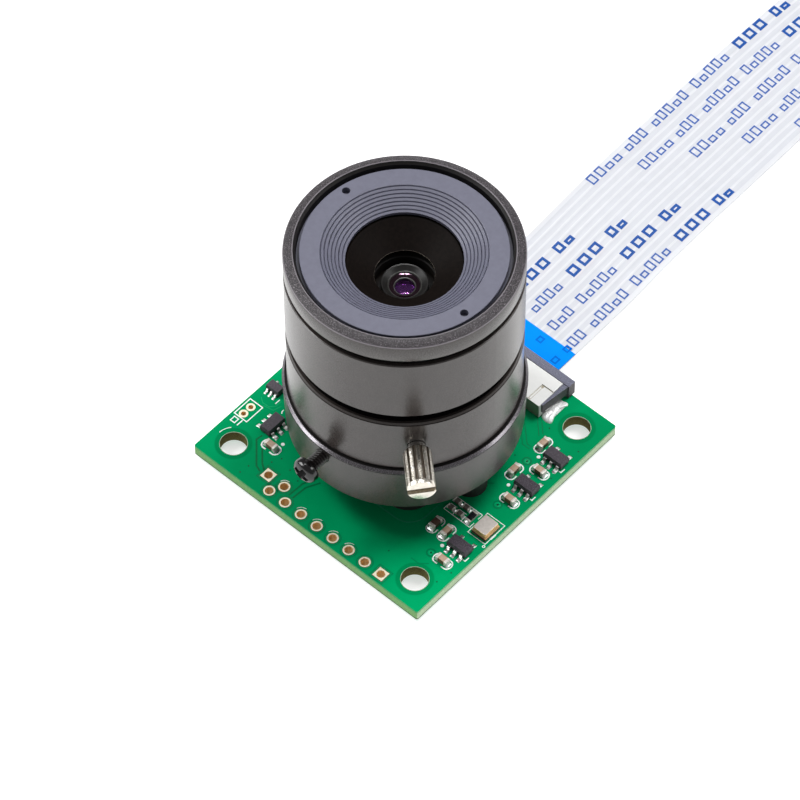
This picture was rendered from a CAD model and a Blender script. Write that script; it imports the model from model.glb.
import bpy
import bmesh
import math
import numpy as np
from mathutils import Matrix, Vector


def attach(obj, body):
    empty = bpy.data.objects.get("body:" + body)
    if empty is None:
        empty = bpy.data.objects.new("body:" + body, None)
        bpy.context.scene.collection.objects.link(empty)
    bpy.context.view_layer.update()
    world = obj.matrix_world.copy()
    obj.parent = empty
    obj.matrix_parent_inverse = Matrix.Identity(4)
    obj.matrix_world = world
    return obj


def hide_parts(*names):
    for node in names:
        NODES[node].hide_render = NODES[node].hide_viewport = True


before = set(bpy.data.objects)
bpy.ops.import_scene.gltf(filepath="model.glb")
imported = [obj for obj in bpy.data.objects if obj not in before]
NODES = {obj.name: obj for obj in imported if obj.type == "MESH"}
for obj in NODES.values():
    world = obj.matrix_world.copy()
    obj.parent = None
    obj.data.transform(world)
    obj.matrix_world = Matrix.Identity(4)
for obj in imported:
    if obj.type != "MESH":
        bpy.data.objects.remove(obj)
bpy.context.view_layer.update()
MM = 0.001
SCENE = bpy.context.scene
rng = np.random.default_rng(11)


def P(x, y, z):
    return Vector((x * MM, y * MM, z * MM))


# ------------------------------------------------------------------ camera
fwd = Vector((-0.39345, 0.43373, -0.81061)).normalized()
up = Vector((-0.54044, 0.60416, 0.58558)).normalized()
right = fwd.cross(up).normalized()
up = right.cross(fwd).normalized()
cam = bpy.data.objects.new("camera", bpy.data.cameras.new("camera"))
SCENE.collection.objects.link(cam)
m = Matrix((right, up, -fwd)).transposed().to_4x4()
m.translation = P(216.030, -239.064, 454.905)
cam.matrix_world = m
cam.data.sensor_fit = "HORIZONTAL"
cam.data.sensor_width = 36.0
cam.data.lens = 18.0 / math.tan(math.radians(9.8082) / 2)
cam.data.clip_start = 0.01
cam.data.clip_end = 20.0
SCENE.camera = cam


# ------------------------------------------------------------------ materials
def nodes_of(mat):
    return mat.node_tree.nodes, mat.node_tree.links


def principled(name, color, rough=0.5, metal=0.0, ior=1.5, coat=0.0, coat_rough=0.1, transmission=0.0,
               tint=None, sheen=0.0, spec=0.5):
    mat = bpy.data.materials.new(name)
    mat.use_nodes = True
    nd, ln = nodes_of(mat)
    b = nd["Principled BSDF"]
    b.inputs["Base Color"].default_value = (*color, 1)
    b.inputs["Roughness"].default_value = rough
    b.inputs["Metallic"].default_value = metal
    b.inputs["IOR"].default_value = ior
    b.inputs["Specular IOR Level"].default_value = spec
    b.inputs["Coat Weight"].default_value = coat
    b.inputs["Coat Roughness"].default_value = coat_rough
    b.inputs["Transmission Weight"].default_value = transmission
    if sheen:
        b.inputs["Sheen Weight"].default_value = sheen
    if tint is not None:
        b.inputs["Specular Tint"].default_value = (*tint, 1)
    return mat


def tex_noise(mat, scale, detail=4.0, rough=0.55, stretch=None, offset=(0, 0, 0)):
    nd, ln = nodes_of(mat)
    tc = nd.new("ShaderNodeTexCoord")
    mp = nd.new("ShaderNodeMapping")
    mp.inputs["Location"].default_value = offset
    if stretch:
        mp.inputs["Scale"].default_value = stretch
    n = nd.new("ShaderNodeTexNoise")
    n.inputs["Scale"].default_value = scale
    n.inputs["Detail"].default_value = detail
    n.inputs["Roughness"].default_value = rough
    ln.new(tc.outputs["Object"], mp.inputs["Vector"])
    ln.new(mp.outputs["Vector"], n.inputs["Vector"])
    return n.outputs["Fac"]


def ramp(mat, fac, stops):
    nd, ln = nodes_of(mat)
    r = nd.new("ShaderNodeValToRGB")
    el = r.color_ramp.elements
    while len(el) < len(stops):
        el.new(0.5)
    for e, (p, c) in zip(el, stops):
        e.position = p
        e.color = (*c, 1) if len(c) == 3 else c
    ln.new(fac, r.inputs["Fac"])
    return r.outputs["Color"]


def maprange(mat, fac, a, b, lo, hi):
    nd, ln = nodes_of(mat)
    r = nd.new("ShaderNodeMapRange")
    r.inputs["From Min"].default_value = a
    r.inputs["From Max"].default_value = b
    r.inputs["To Min"].default_value = lo
    r.inputs["To Max"].default_value = hi
    ln.new(fac, r.inputs["Value"])
    return r.outputs["Result"]


def bump(mat, height, strength=0.3, distance=0.05):
    nd, ln = nodes_of(mat)
    b = nd.new("ShaderNodeBump")
    b.inputs["Strength"].default_value = strength
    b.inputs["Distance"].default_value = distance * MM
    ln.new(height, b.inputs["Height"])
    bsdf = nd["Principled BSDF"]
    if bsdf.inputs["Normal"].is_linked:
        ln.new(bsdf.inputs["Normal"].links[0].from_socket, b.inputs["Normal"])
    ln.new(b.outputs["Normal"], bsdf.inputs["Normal"])


def put(mat, socket, out):
    nd, ln = nodes_of(mat)
    ln.new(out, nd["Principled BSDF"].inputs[socket])


def mix(mat, fac, a, b):
    """Colour mix; a and b are colours or sockets."""
    nd, ln = nodes_of(mat)
    n = nd.new("ShaderNodeMix")
    n.data_type = "RGBA"
    for sock, v in ((n.inputs[6], a), (n.inputs[7], b)):
        if isinstance(v, tuple):
            sock.default_value = (*v, 1)
        else:
            ln.new(v, sock)
    if isinstance(fac, (int, float)):
        n.inputs[0].default_value = fac
    else:
        ln.new(fac, n.inputs[0])
    return n.outputs[2]


def math_node(mat, op, a, b=None):
    nd, ln = nodes_of(mat)
    n = nd.new("ShaderNodeMath")
    n.operation = op
    for i, v in enumerate((a, b)):
        if v is None:
            continue
        if isinstance(v, (int, float)):
            n.inputs[i].default_value = v
        else:
            ln.new(v, n.inputs[i])
    return n.outputs[0]


def plain_detail(mat, color, vary=0.15, scale=2500, grain=14000, grain_strength=0.25, grain_dist=0.02,
                 rough=None):
    """Mottled colour, fine surface grain and uneven gloss from noise."""
    n1 = tex_noise(mat, scale)
    lo = tuple(c * (1 - vary) for c in color)
    hi = tuple(min(1, c * (1 + vary)) for c in color)
    put(mat, "Base Color", ramp(mat, n1, [(0.3, lo), (0.7, hi)]))
    n2 = tex_noise(mat, grain, 3.0, 0.6, offset=(0.3, 0.1, 0.2))
    bump(mat, n2, grain_strength, grain_dist)
    if rough:
        put(mat, "Roughness", maprange(mat, n2, 0.3, 0.7, *rough))
    return mat


def axis_mask(mat, axis, limit, above=True, absolute=False):
    """1 where the surface's normal leans along an axis, else 0."""
    nd, ln = nodes_of(mat)
    g = nd.new("ShaderNodeNewGeometry")
    s = nd.new("ShaderNodeSeparateXYZ")
    ln.new(g.outputs["Normal"], s.inputs[0])
    v = s.outputs["XYZ".index(axis)]
    if absolute:
        v = math_node(mat, "ABSOLUTE", v)
    return math_node(mat, "GREATER_THAN" if above else "LESS_THAN", v, limit)


def object_mask(mat, axis, limit, above=True):
    """1 where the point lies beyond a coordinate (mm) in the object's own space."""
    nd, ln = nodes_of(mat)
    c = nd.new("ShaderNodeTexCoord")
    s = nd.new("ShaderNodeSeparateXYZ")
    ln.new(c.outputs["Object"], s.inputs[0])
    return math_node(mat, "GREATER_THAN" if above else "LESS_THAN", s.outputs["XYZ".index(axis)], limit * MM)


def radius_mask(mat, limit, cx=0.0, cy=0.0, fold=False, soft=0.0):
    """1 beyond a distance (mm) from an upright axis, 0 within it; fold mirrors the axis into all four quadrants."""
    nd, ln = nodes_of(mat)
    c = nd.new("ShaderNodeTexCoord")
    s = nd.new("ShaderNodeSeparateXYZ")
    ln.new(c.outputs["Object"], s.inputs[0])
    x, y = s.outputs[0], s.outputs[1]
    if fold:
        x, y = math_node(mat, "ABSOLUTE", x), math_node(mat, "ABSOLUTE", y)
    x = math_node(mat, "SUBTRACT", x, cx * MM)
    y = math_node(mat, "SUBTRACT", y, cy * MM)
    r = math_node(mat, "SQRT", math_node(mat, "ADD", math_node(mat, "MULTIPLY", x, x),
                                         math_node(mat, "MULTIPLY", y, y)))
    if soft:
        return maprange(mat, r, (limit - soft) * MM, (limit + soft) * MM, 0, 1)
    return math_node(mat, "GREATER_THAN", r, limit * MM)


# anodised barrel: near black with a faint brown cast, very fine blasted grain
def anodised(name, color, rough, ior=1.5, vary=0.12):
    mat = principled(name, color, 0.3, 0.0, ior)
    plain_detail(mat, color, vary, 700, 16000, 0.22, 0.010, rough)
    return mat


M_BARREL = anodised("anodised_barrel", (0.042, 0.035, 0.032), (0.22, 0.31), 1.52)
barrel_col = M_BARREL.node_tree.nodes["Principled BSDF"].inputs["Base Color"].links[0].from_socket
put(M_BARREL, "Base Color", mix(M_BARREL, radius_mask(M_BARREL, 13.35), (0.004, 0.003, 0.003), barrel_col))
M_HOLDER = principled("holder_satin", (0.030, 0.027, 0.026), 0.3, 0.0, 1.5)
n1 = tex_noise(M_HOLDER, 700)
ring_col = ramp(M_HOLDER, n1, [(0.3, (0.026, 0.023, 0.021)), (0.7, (0.034, 0.030, 0.027))])
upper = object_mask(M_HOLDER, "Z", 7.24)
put(M_HOLDER, "Base Color", mix(M_HOLDER, upper, (0.006, 0.006, 0.006), ring_col))
n2 = tex_noise(M_HOLDER, 16000, 3.0, 0.6, offset=(0.3, 0.1, 0.2))
bump(M_HOLDER, n2, 0.22, 0.012)
ring_rough = maprange(M_HOLDER, n2, 0.3, 0.7, 0.24, 0.34)
put(M_HOLDER, "Roughness", math_node(M_HOLDER, "MAXIMUM", ring_rough, maprange(M_HOLDER, upper, 0, 1, 0.66, 0.2)))
M_EDGE = principled("holder_turned_edge", (0.175, 0.165, 0.178), 0.25, 1.0)
plain_detail(M_EDGE, (0.175, 0.165, 0.178), 0.14, 1200, 9000, 0.22, 0.012, (0.20, 0.32))
M_SHADOW = principled("gap_black", (0.006, 0.005, 0.005), 0.5, 0.0, 1.4, spec=0.3)
plain_detail(M_SHADOW, (0.006, 0.005, 0.005), 0.3, 3000, 16000, 0.2, 0.01, (0.45, 0.6))

M_RIM = principled("bezel_speckled", (0.06, 0.055, 0.06), 0.5, 0.0, 1.5, spec=0.35)
n = tex_noise(M_RIM, 9000, 1.5, 0.7)
rim_col = ramp(M_RIM, n, [(0.36, (0.010, 0.008, 0.010)), (0.50, (0.030, 0.026, 0.029)),
                          (0.62, (0.080, 0.070, 0.078)), (0.71, (0.24, 0.22, 0.24))])
line_in = math_node(M_RIM, "LESS_THAN", radius_mask(M_RIM, 12.78), 0.5)
line_out = radius_mask(M_RIM, 13.74)
put(M_RIM, "Base Color", mix(M_RIM, math_node(M_RIM, "MAXIMUM", line_in, line_out), rim_col, (0.17, 0.155, 0.17)))
bump(M_RIM, n, 0.8, 0.05)

M_BAFFLE = principled("baffle_blue_grey", (0.128, 0.130, 0.176), 0.40, 0.0, 1.5)
n = tex_noise(M_BAFFLE, 1500, 4.0, 0.6)
put(M_BAFFLE, "Base Color", ramp(M_BAFFLE, n, [(0.3, (0.107, 0.108, 0.148)), (0.7, (0.122, 0.124, 0.168))]))
n = tex_noise(M_BAFFLE, 14000, 3.0, 0.6)
bump(M_BAFFLE, n, 0.12, 0.012)
put(M_BAFFLE, "Roughness", maprange(M_BAFFLE, n, 0.3, 0.7, 0.36, 0.46))
M_GROOVE = principled("baffle_groove_dark", (0.018, 0.016, 0.020), 0.5)
plain_detail(M_GROOVE, (0.018, 0.016, 0.020), 0.2, 3000, 20000, 0.2, 0.01)
M_MATT = principled("lens_matt_black", (0.0050, 0.0034, 0.0028), 0.6, 0.0, 1.3, spec=0.12)
plain_detail(M_MATT, (0.0050, 0.0034, 0.0028), 0.3, 2500, 9000, 0.15, 0.01, (0.55, 0.68))
M_HOOD_EDGE = principled("hood_edge_glint", (0.26, 0.23, 0.19), 0.16, 0.0, 2.0)
plain_detail(M_HOOD_EDGE, (0.26, 0.23, 0.19), 0.3, 3000, 9000, 0.3, 0.01, (0.12, 0.25))
M_CELL = principled("cell_black", (0.012, 0.0115, 0.011), 0.36, 0.0, 1.42, spec=0.3)
plain_detail(M_CELL, (0.012, 0.0115, 0.011), 0.2, 2500, 12000, 0.15, 0.01, (0.32, 0.44))
cell_col = M_CELL.node_tree.nodes["Principled BSDF"].inputs["Base Color"].links[0].from_socket
cell_out = radius_mask(M_CELL, 2.80)
put(M_CELL, "Base Color", mix(M_CELL, cell_out, cell_col, (0.006, 0.0045, 0.0035)))
cell_rough = M_CELL.node_tree.nodes["Principled BSDF"].inputs["Roughness"].links[0].from_socket
put(M_CELL, "Roughness", math_node(M_CELL, "MAXIMUM", cell_rough, maprange(M_CELL, cell_out, 0, 1, 0.2, 0.62)))
M_SEAT = principled("cell_seat_ring", (0.030, 0.030, 0.027), 0.34, 0.0, 1.5)
plain_detail(M_SEAT, (0.030, 0.030, 0.027), 0.2, 2500, 12000, 0.15, 0.01, (0.28, 0.4))

M_GLASS = principled("coated_glass", (0.85, 0.80, 0.95), 0.02, 0.0, 1.55, transmission=1.0,
                     tint=(0.85, 0.35, 1.0))
n = tex_noise(M_GLASS, 400)
put(M_GLASS, "Roughness", maprange(M_GLASS, n, 0.2, 0.8, 0.01, 0.03))
M_FILTER = principled("filter_glass", (0.55, 0.85, 0.90), 0.03, 0.0, 1.5, transmission=1.0, tint=(1.0, 0.5, 0.6))
n = tex_noise(M_FILTER, 400)
put(M_FILTER, "Roughness", maprange(M_FILTER, n, 0.2, 0.8, 0.01, 0.04))
# coated front glass seen against the dark lens: nearly black, with rose and violet reflections
M_COAT_ROSE = principled("coating_rose", (0.003, 0.0008, 0.0015), 0.06, 0.0, 1.42, tint=(1.0, 0.60, 0.84))
n = tex_noise(M_COAT_ROSE, 500)
put(M_COAT_ROSE, "Roughness", maprange(M_COAT_ROSE, n, 0.2, 0.8, 0.045, 0.075))
M_COAT_VIOLET = principled("coating_violet", (0.007, 0.001, 0.022), 0.07, 0.0, 1.6, tint=(0.62, 0.16, 1.0))
n = tex_noise(M_COAT_VIOLET, 500)
put(M_COAT_VIOLET, "Roughness", maprange(M_COAT_VIOLET, n, 0.2, 0.8, 0.05, 0.09))
M_DOME = principled("coated_dome", (0.90, 0.72, 1.0), 0.05, 0.0, 1.42, transmission=1.0, tint=(0.85, 0.30, 1.0))
n = tex_noise(M_DOME, 500)
put(M_DOME, "Roughness", maprange(M_DOME, n, 0.2, 0.8, 0.035, 0.065))

M_NICKEL = principled("nickel_plate", (0.66, 0.62, 0.55), 0.22, 1.0)
plain_detail(M_NICKEL, (0.66, 0.62, 0.55), 0.12, 1800, 11000, 0.22, 0.012, (0.18, 0.32))
# knurled faces: the plate is broken by bright and dark specks where the tool pressed
M_KNURL = principled("nickel_knurled", (0.60, 0.56, 0.49), 0.3, 1.0)
n = tex_noise(M_KNURL, 5200, 2.0, 0.75)
put(M_KNURL, "Base Color", ramp(M_KNURL, n, [(0.34, (0.13, 0.115, 0.09)), (0.44, (0.42, 0.39, 0.33)),
                                             (0.56, (0.66, 0.62, 0.56)), (0.70, (0.88, 0.86, 0.82))]))
bump(M_KNURL, n, 0.7, 0.05)
put(M_KNURL, "Roughness", maprange(M_KNURL, n, 0.3, 0.7, 0.48, 0.20))
M_KNURL_ROOT = principled("knurl_valley", (0.10, 0.08, 0.06), 0.5, 0.5)
plain_detail(M_KNURL_ROOT, (0.10, 0.08, 0.06), 0.35, 5000, 12000, 0.4, 0.02, (0.42, 0.6))
M_NECK = principled("nickel_neck", (0.74, 0.71, 0.66), 0.15, 1.0)
plain_detail(M_NECK, (0.74, 0.71, 0.66), 0.08, 2500, 9000, 0.15, 0.008, (0.12, 0.20))
M_NICKEL_SLOT = principled("nickel_slot_floor", (0.36, 0.31, 0.23), 0.5, 0.6)
plain_detail(M_NICKEL_SLOT, (0.36, 0.31, 0.23), 0.12, 3000, 9000, 0.3, 0.02, (0.42, 0.6))
M_SCREW = principled("black_oxide", (0.004, 0.0035, 0.004), 0.18, 0.0, 1.55)
plain_detail(M_SCREW, (0.004, 0.0035, 0.004), 0.35, 2500, 12000, 0.3, 0.015, (0.12, 0.22))

M_THREAD = principled("black_oxide_thread", (0.006, 0.0035, 0.0035), 0.34, 0.0, 1.5)
plain_detail(M_THREAD, (0.006, 0.0035, 0.0035), 0.35, 2500, 5200, 0.75, 0.05, (0.24, 0.5))

M_TIN = principled("tinned_solder", (0.84, 0.84, 0.83), 0.28, 1.0)
plain_detail(M_TIN, (0.84, 0.84, 0.83), 0.10, 4000, 6000, 0.3, 0.03, (0.2, 0.4))
M_SOLDER = principled("solder_fillet", (0.70, 0.71, 0.70), 0.34, 1.0)
plain_detail(M_SOLDER, (0.70, 0.71, 0.70), 0.16, 3000, 5000, 0.5, 0.04, (0.26, 0.46))
M_POOL = principled("solder_pool", (0.90, 0.91, 0.90), 0.42, 0.3, 1.5)
n = tex_noise(M_POOL, 2600, 3.0, 0.6)
put(M_POOL, "Base Color", ramp(M_POOL, n, [(0.34, (0.66, 0.67, 0.66)), (0.46, (0.90, 0.91, 0.90)), (0.62, (0.98, 0.98, 0.98))]))
bump(M_POOL, n, 0.45, 0.06)
put(M_POOL, "Roughness", maprange(M_POOL, n, 0.3, 0.7, 0.52, 0.28))
M_LEAD = principled("lead_frame_tin", (0.80, 0.79, 0.77), 0.35, 1.0)
plain_detail(M_LEAD, (0.80, 0.79, 0.77), 0.12, 5000, 12000, 0.2, 0.015, (0.26, 0.40))
M_TERM = principled("capacitor_end_tin", (0.74, 0.70, 0.64), 0.42, 0.25, 1.5)
plain_detail(M_TERM, (0.74, 0.70, 0.64), 0.10, 4000, 12000, 0.2, 0.015, (0.36, 0.5))
M_GOLD = principled("gilded_pad", (0.80, 0.68, 0.46), 0.42, 0.18, 1.5)
up_face = axis_mask(M_GOLD, "Z", 0.7, absolute=True)
n = tex_noise(M_GOLD, 3500)
top_col = ramp(M_GOLD, n, [(0.3, (0.88, 0.80, 0.56)), (0.7, (0.99, 0.94, 0.76))])
wall_col = ramp(M_GOLD, n, [(0.3, (0.92, 0.56, 0.22)), (0.7, (1.0, 0.72, 0.36))])
put(M_GOLD, "Base Color", mix(M_GOLD, up_face, wall_col, top_col))
bump(M_GOLD, tex_noise(M_GOLD, 12000), 0.2, 0.015)

M_IVORY = principled("connector_ivory", (0.80, 0.785, 0.74), 0.45, 0.0, 1.5, spec=0.35)
n = tex_noise(M_IVORY, 1500)
ivory_col = ramp(M_IVORY, n, [(0.3, (0.79, 0.795, 0.78)), (0.7, (0.82, 0.825, 0.81))])
rear_face = axis_mask(M_IVORY, "Y", -0.7, above=False)
put(M_IVORY, "Base Color", mix(M_IVORY, rear_face, ivory_col, (0.34, 0.315, 0.27)))
bump(M_IVORY, tex_noise(M_IVORY, 12000), 0.15, 0.015)
M_IVORY_DARK = principled("connector_ivory_joint", (0.42, 0.38, 0.28), 0.5)
plain_detail(M_IVORY_DARK, (0.42, 0.38, 0.28), 0.2, 4000, 12000, 0.2, 0.01)
M_SLIDER = principled("connector_slider_mauve", (0.13, 0.125, 0.155), 0.5, 0.0, 1.5, spec=0.3)
n = tex_noise(M_SLIDER, 9000, 1.5, 0.7)
slide_top = ramp(M_SLIDER, n, [(0.34, (0.085, 0.090, 0.130)), (0.52, (0.145, 0.150, 0.205)),
                               (0.66, (0.23, 0.235, 0.31)), (0.74, (0.36, 0.36, 0.44))])
slide_side = ramp(M_SLIDER, n, [(0.34, (0.050, 0.042, 0.052)), (0.60, (0.085, 0.072, 0.085)),
                                (0.74, (0.17, 0.15, 0.17))])
top_face = axis_mask(M_SLIDER, "Z", 0.6)
put(M_SLIDER, "Base Color", mix(M_SLIDER, top_face, slide_side, slide_top))
bump(M_SLIDER, n, 0.35, 0.02)

M_EPOXY = principled("chip_epoxy", (0.055, 0.045, 0.060), 0.55, 0.0, 1.5, spec=0.4)
n = tex_noise(M_EPOXY, 7000, 2.0, 0.7)
put(M_EPOXY, "Base Color", ramp(M_EPOXY, n, [(0.34, (0.034, 0.027, 0.036)), (0.56, (0.058, 0.048, 0.062)),
                                             (0.72, (0.12, 0.10, 0.125))]))
bump(M_EPOXY, n, 0.4, 0.03)
M_CAP = principled("capacitor_tan", (0.46, 0.31, 0.22), 0.45, spec=0.35)
n = tex_noise(M_CAP, 2500)
cap_top = ramp(M_CAP, n, [(0.3, (0.44, 0.30, 0.215)), (0.7, (0.54, 0.385, 0.28))])
cap_side = ramp(M_CAP, n, [(0.3, (0.135, 0.075, 0.045)), (0.7, (0.20, 0.12, 0.075))])
put(M_CAP, "Base Color", mix(M_CAP, axis_mask(M_CAP, "Z", 0.7), cap_side, cap_top))
bump(M_CAP, tex_noise(M_CAP, 12000), 0.2, 0.02)
M_CAP_GREY = principled("capacitor_grey", (0.20, 0.175, 0.15), 0.45)
plain_detail(M_CAP_GREY, (0.17, 0.145, 0.125), 0.16, 2500, 12000, 0.2, 0.02, (0.38, 0.5))
M_CAP_DARK = principled("capacitor_brown", (0.13, 0.075, 0.055), 0.42)
plain_detail(M_CAP_DARK, (0.115, 0.060, 0.042), 0.16, 2500, 12000, 0.2, 0.02, (0.34, 0.46))
M_RES = principled("resistor_black", (0.010, 0.010, 0.014), 0.3, 0.0, 1.6)
plain_detail(M_RES, (0.010, 0.010, 0.014), 0.3, 2500, 12000, 0.2, 0.02, (0.24, 0.4))
M_ALUMINA = principled("resistor_alumina", (0.72, 0.72, 0.70), 0.6)
plain_detail(M_ALUMINA, (0.72, 0.72, 0.70), 0.05, 2500, 12000, 0.2, 0.02)
M_LID = principled("crystal_lid", (0.62, 0.57, 0.53), 0.45, 0.25)
n = tex_noise(M_LID, 3000)
lid_top = ramp(M_LID, n, [(0.3, (0.56, 0.515, 0.475)), (0.7, (0.66, 0.61, 0.57))])
lid_side = ramp(M_LID, n, [(0.3, (0.50, 0.28, 0.10)), (0.7, (0.78, 0.52, 0.24))])
put(M_LID, "Base Color", mix(M_LID, axis_mask(M_LID, "Z", 0.80), lid_side, lid_top))
bump(M_LID, tex_noise(M_LID, 9000), 0.2, 0.015)
M_CERAMIC = principled("crystal_ceramic", (0.10, 0.055, 0.035), 0.5)
n = tex_noise(M_CERAMIC, 4000)
cer_col = ramp(M_CERAMIC, n, [(0.3, (0.060, 0.030, 0.018)), (0.7, (0.13, 0.07, 0.045))])
put(M_CERAMIC, "Base Color", mix(M_CERAMIC, axis_mask(M_CERAMIC, "Z", 0.8), cer_col, (0.72, 0.48, 0.22)))
bump(M_CERAMIC, tex_noise(M_CERAMIC, 12000), 0.3, 0.02)
M_SENSOR = principled("sensor_die", (0.03, 0.035, 0.05), 0.2, 0.3)
plain_detail(M_SENSOR, (0.03, 0.035, 0.05), 0.3, 2500, 12000, 0.1, 0.01)

M_SILK = principled("board_white_ink", (0.93, 0.99, 0.98), 0.55, spec=0.3)
plain_detail(M_SILK, (0.93, 0.99, 0.98), 0.06, 6000, 12000, 0.3, 0.01)
M_SILK_FAINT = principled("board_faint_ink", (0.0, 0.30, 0.13), 0.5, spec=0.3)
plain_detail(M_SILK_FAINT, (0.002, 0.30, 0.13), 0.1, 6000, 12000, 0.3, 0.01)
M_MASK_DARK = principled("mask_over_gap", (0.0, 0.205, 0.075), 0.35, 0.0, 1.5, spec=0.12)
plain_detail(M_MASK_DARK, (0.0, 0.205, 0.075), 0.08, 3000, 12000, 0.1, 0.01)
M_MASK_DEEP = principled("mask_between_tracks", (0.0, 0.150, 0.052), 0.35, 0.0, 1.5, spec=0.12)
plain_detail(M_MASK_DEEP, (0.0, 0.150, 0.052), 0.08, 3000, 12000, 0.1, 0.01)
M_MASK_TRACE = principled("mask_over_trace", (0.0, 0.37, 0.135), 0.3, 0.0, 1.5, spec=0.2)
plain_detail(M_MASK_TRACE, (0.0, 0.37, 0.135), 0.06, 3000, 12000, 0.1, 0.01)
M_RIMLINE = principled("hole_rim_fibre", (0.40, 0.50, 0.38), 0.5)
plain_detail(M_RIMLINE, (0.40, 0.50, 0.38), 0.25, 4000, 12000, 0.2, 0.01)
M_VIA = principled("via_pit", (0.0, 0.07, 0.028), 0.5, 0.0, 1.5, spec=0.2)
plain_detail(M_VIA, (0.0, 0.07, 0.028), 0.2, 4000, 12000, 0.2, 0.01)
M_PAD_EDGE = principled("pad_mask_edge", (0.05, 0.055, 0.03), 0.5, 0.0, 1.5, spec=0.3)
plain_detail(M_PAD_EDGE, (0.05, 0.055, 0.03), 0.3, 4000, 12000, 0.2, 0.01)

M_STIFF = principled("stiffener_blue", (0.0, 0.235, 0.86), 0.34, 0.0, 1.5, spec=0.04)
plain_detail(M_STIFF, (0.0, 0.235, 0.86), 0.03, 700, 9000, 0.08, 0.01, (0.3, 0.4))
M_FILM = principled("cable_white_film", (0.542, 0.556, 0.596), 0.34, 0.0, 1.5, spec=0.3)
plain_detail(M_FILM, (0.542, 0.556, 0.596), 0.02, 600, 8000, 0.10, 0.01, (0.3, 0.42))
M_FILM_RIB = principled("cable_rib", (0.615, 0.625, 0.655), 0.30, 0.0, 1.5, spec=0.3)
plain_detail(M_FILM_RIB, (0.615, 0.625, 0.655), 0.015, 600, 8000, 0.10, 0.01, (0.28, 0.38))
M_INK = principled("cable_blue_ink", (0.010, 0.070, 0.30), 0.5, spec=0.2)
plain_detail(M_INK, (0.010, 0.070, 0.30), 0.2, 5000, 9000, 0.1, 0.01)
M_INK_THIN = principled("cable_blue_ink_thin", (0.040, 0.105, 0.36), 0.5, spec=0.2)
plain_detail(M_INK_THIN, (0.040, 0.105, 0.36), 0.12, 5000, 9000, 0.1, 0.01)
M_INK_UNDER = principled("cable_ink_under_stiffener", (0.0, 0.13, 0.56), 0.4, spec=0.04)
plain_detail(M_INK_UNDER, (0.0, 0.13, 0.56), 0.08, 5000, 9000, 0.1, 0.01)

# solder mask on the faces, glass fibre on the edges and in the holes
M_BOARD = principled("board_solder_mask", (0.0, 0.33, 0.11), 0.3, 0.0, 1.5, spec=0.02)
face_up = axis_mask(M_BOARD, "Z", 0.7, absolute=True)
n_big = tex_noise(M_BOARD, 160, 3.0)
mask_col = ramp(M_BOARD, n_big, [(0.3, (0.0, 0.290, 0.100)), (0.7, (0.0, 0.330, 0.118))])
n_fib = tex_noise(M_BOARD, 5200, 4.0, 0.7, stretch=(1, 1, 2.2))
fib_green = ramp(M_BOARD, n_fib, [(0.25, (0.13, 0.29, 0.11)), (0.5, (0.21, 0.41, 0.165)), (0.8, (0.36, 0.56, 0.25))])
fib_pale = ramp(M_BOARD, n_fib, [(0.25, (0.26, 0.40, 0.23)), (0.5, (0.50, 0.64, 0.42)), (0.8, (0.76, 0.84, 0.62))])
fibre = mix(M_BOARD, axis_mask(M_BOARD, "X", 0.7, absolute=True), fib_green, fib_pale)
low_edge = object_mask(M_BOARD, "Z", 0.22, above=False)
fibre = mix(M_BOARD, math_node(M_BOARD, "MULTIPLY", low_edge, 0.8), fibre, (0.09, 0.10, 0.07))
high_edge = object_mask(M_BOARD, "Z", 1.28)
fibre = mix(M_BOARD, math_node(M_BOARD, "MULTIPLY", high_edge, 0.62), fibre, (0.04, 0.34, 0.14))
outside = math_node(M_BOARD, "MAXIMUM", object_mask(M_BOARD, "X", 17.5), object_mask(M_BOARD, "X", -17.5, above=False))
outside = math_node(M_BOARD, "MAXIMUM", outside, object_mask(M_BOARD, "Y", 17.5))
outside = math_node(M_BOARD, "MAXIMUM", outside, object_mask(M_BOARD, "Y", -17.5, above=False))
hole_wall = ramp(M_BOARD, n_fib, [(0.25, (0.085, 0.075, 0.028)), (0.5, (0.15, 0.135, 0.050)), (0.8, (0.27, 0.25, 0.11))])
fibre = mix(M_BOARD, outside, hole_wall, fibre)
ring_in = radius_mask(M_BOARD, 2.28, 14.5, 14.5, fold=True, soft=0.10)
mask_col = mix(M_BOARD, ring_in, (0.0, 0.232, 0.078), mask_col)
put(M_BOARD, "Base Color", mix(M_BOARD, face_up, fibre, mask_col))
put(M_BOARD, "Roughness", maprange(M_BOARD, face_up, 0, 1, 0.75, 0.28))
weave = tex_noise(M_BOARD, 2600, 2.0, 0.5)
bump(M_BOARD, weave, 0.12, 0.02)


# ------------------------------------------------------------------ geometry helpers (millimetres in)
def finish_mesh(name, bm, mats, sharp=30.0, smooth=True, recalc=True):
    if recalc:
        bmesh.ops.recalc_face_normals(bm, faces=bm.faces)
    if smooth:
        for f in bm.faces:
            f.smooth = True
        lim = math.radians(sharp)
        for e in bm.edges:
            if len(e.link_faces) == 2:
                e.smooth = e.calc_face_angle(0.0) < lim
    me = bpy.data.meshes.new(name)
    for v in bm.verts:
        v.co *= MM
    bm.to_mesh(me)
    bm.free()
    if not isinstance(mats, (list, tuple)):
        mats = [mats]
    for mt in mats:
        me.materials.append(mt)
    ob = bpy.data.objects.new(name, me)
    SCENE.collection.objects.link(ob)
    return ob


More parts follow.
